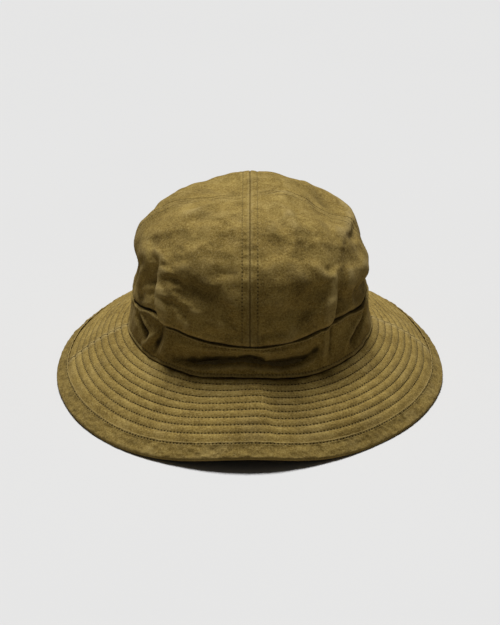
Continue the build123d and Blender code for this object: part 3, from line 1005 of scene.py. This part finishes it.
def binding_strip():
    """The folded strip round the brim's edge: under leg, rounded rim and top leg."""
    turns = np.arange(900) * 0.4
    legs = np.concatenate([np.linspace(0, 7.0, 9), [7.6, 8.1, 8.5, 8.85, 9.2, 9.55, 9.9, 10.3, 10.7]])
    bends = np.linspace(0, math.pi, 13)[1:-1]
    under = [(leg, -binding_half, -1.0) for leg in legs[::-1]]
    rim = [(-binding_half * math.sin(b), -binding_half * math.cos(b), 0.0) for b in bends]
    top = [(leg, binding_half, 1.0) for leg in legs]
    section = np.array(under + rim + top)
    leg = section[:, 0][:, None]
    side = section[:, 2][:, None]
    turn = turns[None, :]
    slope = 1 - leg / brim_length
    place = brim_place(turn, slope, 0)
    folded = 0.35 * ease(leg, 7.9, 8.6) - 0.45 * bell(leg, binding_row, 0.5)
    pucker = 0.16 * ripple(place, 11, 71) * ease(leg, 9.0, 5.0) + 0.12 * ripple(place, 5, 72)
    round_mm = turn * 2.4
    slant = 0.12 * np.cos((round_mm + 1.2 * leg) * 2 * math.pi / 5.2) * bell(leg, 6.4, 2.6)
    above = section[:, 1][:, None] + side * (folded + slant) + (np.abs(side) + 0.4) * pucker
    grid = brim_place(turn, slope, above + brim_wave(turn, np.minimum(slope, 1)))
    grid[..., 2] = np.maximum(grid[..., 2], floor_gap)  # the floor flattens the rim
    travelled = lengths(brim_place(turns, 1 - binding_row / brim_length, 0))
    row_phase = np.broadcast_to(travelled[None, :] / stitch_pitch, grid.shape[:2])
    distance = np.where(side != 0, np.abs(leg - binding_row), apart)
    edge = bell(section[:, 0], -binding_half, 1.3)[:, None]
    wear = 0.30 * edge + 0.32 * bell(leg, binding_leg, 0.8) + 0.15 * ease(ripple(place, 24, 73), 0.2, 1.8)
    painted_shade_and_tone = 0.15 + 0.15 * ease(ripple(place, 14, 74), 0.4, 1.8)
    around = np.concatenate([[0], np.cumsum(np.hypot(*np.diff(section[:, :2], axis=0).T))])
    cloth = weave_field(round_mm, around[:, None])
    fields = {"seam_a": row_field(distance, row_phase), "wear": wear, "painted_shade_and_tone": painted_shade_and_tone, "cloth": cloth}
    cloth_piece("cloth_brim_edge_binding", grid, twill, olive, fields, ring=True)


binding_strip()


# ---------------------------------------------------------------- inside of the crown

sweat_knee = 58.5
sweat_top = sweat_high[2]
sweat_thickness = 0.9
sweat_tuck = 1.2  # of its foot, below the head seam
sweat_round = 1.55  # millimetres of travel round it for each degree
foot_row, hem_row = 3.5, 2.0


def sweatband_face(turn, share):
    """The sweatband's inner face, from its foot (0) to its hem (1)."""
    foot = seam_z(turn) - sweat_tuck
    up = foot + (sweat_top - foot) * share
    inset = np.where(
        up < sweat_knee,
        1.7 + (6.5 - 1.7) * (up - foot) / (sweat_knee - foot),
        6.5 + 0.5 * (up - sweat_knee) / (sweat_top - sweat_knee),
    )
    place = ring_place(turn, 0, up)
    relief = 0.30 * ripple(place, 32, 81) * ease(share, 0, 0.3) - 0.25 * bell(sweat_top - up, hem_row, 0.6)
    relief += 0.2 * ease(share, 0.9, 0.95)
    band_share = np.clip((up - seam_z(turn)) / (band_top - seam_z(turn)), 0, 1)
    behind = band_lean * band_share - band_relief(turn, band_share) + twill + 0.8
    inset = inset + 0.35 + relief
    return ring_place(turn, -np.maximum(inset, behind) - sweat_thickness, up)


def sweatband_cloth():
    """The band that touches the head."""
    turns = np.arange(480) * 0.75
    shares = np.concatenate([np.linspace(0, 0.86, 26), np.linspace(0.88, 1, 9)])
    turn, share = turns[None, :], shares[:, None]
    grid = sweatband_face(turn, share)
    foot = seam_z(turn) - sweat_tuck
    up = (sweat_top - foot) * share
    round_mm = turn * sweat_round
    fields = {
        "seam_a": row_field(up - foot_row, round_mm / stitch_pitch),
        "seam_b": row_field((sweat_top - foot) - up - hem_row, round_mm / stitch_pitch),
        "wear": 0.25 * bell(share, 1.0, 0.03) + 0 * turn,
        "cloth": weave_field(round_mm, up),
    }
    cloth_piece("cloth_sweatband", grid, sweat_thickness, lining_twill, fields, ring=True, flipped=True)


sweatband_cloth()


def seam_tape(name, across_front, depth):
    """A tape under a crown seam; the centre seam runs front to back, the cross seam side to side."""
    rows = np.linspace(0.03, 0.995, 70)
    half = np.interp(rows * crown_arc, profile_length, profile_radius)
    along = np.concatenate([half, [0.0], -half[::-1]])
    reach = np.concatenate([rows, [1.0], rows[::-1]])
    offset = np.linspace(-7, 7, 9)[None, :]
    along, reach = along[:, None], reach[:, None]
    radius = np.hypot(offset, along)
    by_radius = np.interp(radius, profile_radius[::-1], profile_length[::-1]) / crown_arc
    share = ease(np.abs(along), 60, 80)
    reached = by_radius * (1 - share) + reach * share
    if across_front:
        turn = np.degrees(np.arctan2(offset, along))
    else:
        turn = np.degrees(np.arctan2(along, offset))
    base, normal = crown_base(turn, reached)
    place = base + normal * (crown_folds(turn, base) - depth)[..., None]
    place[..., 2] += crown_rise(turn, base[..., 2])
    fields = {"cloth": weave_field(offset, lengths(base[:, 4])[:, None])}
    cloth_piece(name, place, 0.5, tape_cloth, fields, flipped=across_front)


seam_tape("cloth_crown_centre_tape", True, 2.8)
seam_tape("cloth_crown_cross_tape", False, 3.5)


def care_label():
    """A folded loop of satin tape that hangs from the sweatband's hem at the rear."""
    half_width = (label_high[0] - label_low[0]) / 2
    middle_y = (label_low[1] + label_high[1]) / 2
    half_thickness = (label_high[1] - label_low[1]) / 2
    top, fold_z = label_high[2], label_low[2] + half_thickness
    bends = np.linspace(0, math.pi, 9)
    down = np.linspace(top, fold_z, 26)
    section = [(half_thickness, z) for z in down]
    section += [(half_thickness * math.cos(b), fold_z - half_thickness * math.sin(b)) for b in bends[1:-1]]
    section += [(-half_thickness, z) for z in down[::-1]]
    section = np.array(section)
    x = np.linspace(-half_width, half_width, 30)[None, :]
    y = middle_y + section[:, 0][:, None]
    z = section[:, 1][:, None]
    drop = (top - z) / (top - fold_z)
    curl = 0.12 * drop * np.sin((x + 4) / 5.5)
    place = np.stack(np.broadcast_arrays(x, y + curl, z), axis=-1)
    round_mm = lengths(np.pad(section, ((0, 0), (0, 1))))
    fields = {"cloth": weave_field(x, round_mm[:, None])}
    cloth_piece("cloth_care_label", place, 0.4, satin, fields, flipped=True, body="label")


care_label()


# ---------------------------------------------------------------- stitching


def crown_line(sideways, centre, end):
    """A row beside a crown seam, on one of the seam's halves, and the distance travelled on it."""
    last = np.interp(-max(abs(sideways), 0.1), -profile_radius, profile_length) / crown_arc
    if not centre:
        last = np.interp(-8.5, -profile_radius, profile_length) / crown_arc
    reach = np.linspace(0.004, last - 0.001, 400)
    radius = np.interp(reach * crown_arc, profile_length, profile_radius)
    swing = np.degrees(np.arcsin(np.clip(sideways / radius, -1, 1)))
    turn = end + swing
    place, _ = crown_surface(turn, reach)
    return place, reach * crown_arc


centre_rows = [crown_line(side * row_offset, True, end) for side in (-1, 1) for end in (0, 180)]
cross_rows = [crown_line(side * row_offset, False, end) for side in (-1, 1) for end in (90, 270)]
stitches("stitched_crown_centre_thread", centre_rows, list(gores))
stitches("stitched_crown_cross_thread", cross_rows, list(gores))

thread_turns = np.append(ring_turns, 360.0)


def band_line(height):
    """A ring of stitches on the side band; height is measured up, or down if negative."""
    tall = band_top - seam_z(thread_turns)
    up = height if height > 0 else tall + height
    return band_surface(thread_turns, up / tall), thread_turns * band_round


stitches("stitched_band_lower_thread", [band_line(band_row)], ["cloth_side_band"])
stitches("stitched_band_upper_thread", [band_line(-band_row)], ["cloth_side_band"])

halves = [half_turns(front_start), half_turns(rear_start)]
for side, layer, end in ((1, "top", "needle"), (-1, "under", "bobbin")):
    quilting = [quilting_line(turns, row, side) for turns in halves for row in range(1, quilting_rows + 1)]
    plies = [f"cloth_brim_{layer}_front", f"cloth_brim_{layer}_rear"]
    stitches(f"stitched_brim_{end}_thread", quilting, plies)

binding_travelled = lengths(brim_place(thread_turns, 1 - binding_row / brim_length, 0))
binding_lines = []
for side in (1, -1):
    line = brim_place(thread_turns, 1 - binding_row / brim_length, side * (binding_half + 0.5))
    binding_lines.append((line, binding_travelled))
stitches("stitched_binding_thread", binding_lines, ["cloth_brim_edge_binding"])


def sweatband_line(height):
    """A ring of stitches on the sweatband; height is measured up, or down if negative."""
    tall = sweat_top - seam_z(thread_turns) + sweat_tuck
    up = height if height > 0 else tall + height
    return sweatband_face(thread_turns, up / tall), thread_turns * sweat_round


sweatband_lines = [sweatband_line(foot_row), sweatband_line(-hem_row)]
stitches("stitched_sweatband_thread", sweatband_lines, ["cloth_sweatband"])
label_turns = np.linspace(172, 188, 40)
label_foot = seam_z(label_turns) - sweat_tuck
label_share = (label_high[2] + 0.9 - label_foot) / (sweat_top - label_foot)
label_line = sweatband_face(label_turns, label_share)
stitches("stitched_care_label_thread", [(label_line, lengths(label_line))], ["cloth_sweatband"])


# ---------------------------------------------------------------- stage, light and camera


def studio():
    """A pale floor under a broad soft light from above and slightly behind."""
    g = Graph("studio_floor")
    place = g.add("ShaderNodeTexCoord").outputs["Object"]
    seen = g.mix(g.noise(place, 400, 2), rgb(0.69, 0.69, 0.69), rgb(0.71, 0.71, 0.71))
    direct = g.add("ShaderNodeLightPath").outputs["Is Camera Ray"]
    colour = g.mix(direct, rgb(0.34, 0.31, 0.25), seen)
    inputs = {"Base Color": colour, "Roughness": 0.9, "Specular IOR Level": 0.1}
    material = g.output(g.add("ShaderNodeBsdfPrincipled", inputs).outputs[0])
    half = 6.0
    mesh = bpy.data.meshes.new("floor")
    corners = [(-half, -half, 0), (half, -half, 0), (half, half, 0), (-half, half, 0)]
    mesh.from_pydata(corners, [], [(0, 1, 2, 3)])
    mesh.materials.append(material)
    floor = bpy.data.objects.new("floor", mesh)
    bpy.context.scene.collection.objects.link(floor)
    floor.location.z = min(cad_low.z, 0.0)

    world = bpy.data.worlds.new("studio_world")
    bpy.context.scene.world = world
    world.use_nodes = True
    tree = world.node_tree
    tree.nodes.clear()
    background = tree.nodes.new("ShaderNodeBackground")
    background.inputs["Color"].default_value = rgb(1.0, 0.96, 0.88)
    background.inputs["Strength"].default_value = 0.04
    surface = tree.nodes.new("ShaderNodeOutputWorld").inputs["Surface"]
    tree.links.new(background.outputs[0], surface)

    data = bpy.data.lights.new("key", "SUN")
    data.energy = 3.60
    data.angle = math.radians(20)
    key = bpy.data.objects.new("key", data)
    bpy.context.scene.collection.objects.link(key)
    key.rotation_euler = (math.radians(-17), math.radians(-3), 0)
    scene = bpy.context.scene
    scene.view_settings.view_transform = "Standard"
    scene.view_settings.look = "None"


def camera():
    """A camera 1.5 m away, 27 degrees above the horizon, in front of the hat."""
    distance, elevation = 1.5, math.radians(27)
    data = bpy.data.cameras.new("camera")
    data.sensor_width = 36.0
    data.lens = 113.2
    view = bpy.data.objects.new("camera", data)
    bpy.context.scene.collection.objects.link(view)
    view.location = (0, -distance * math.cos(elevation), distance * math.sin(elevation))
    target_height = 0.047
    fall = math.atan2(view.location.z - target_height, -view.location.y)
    view.rotation_euler = (math.pi / 2 - fall, 0, 0)
    bpy.context.scene.camera = view


studio()
camera()
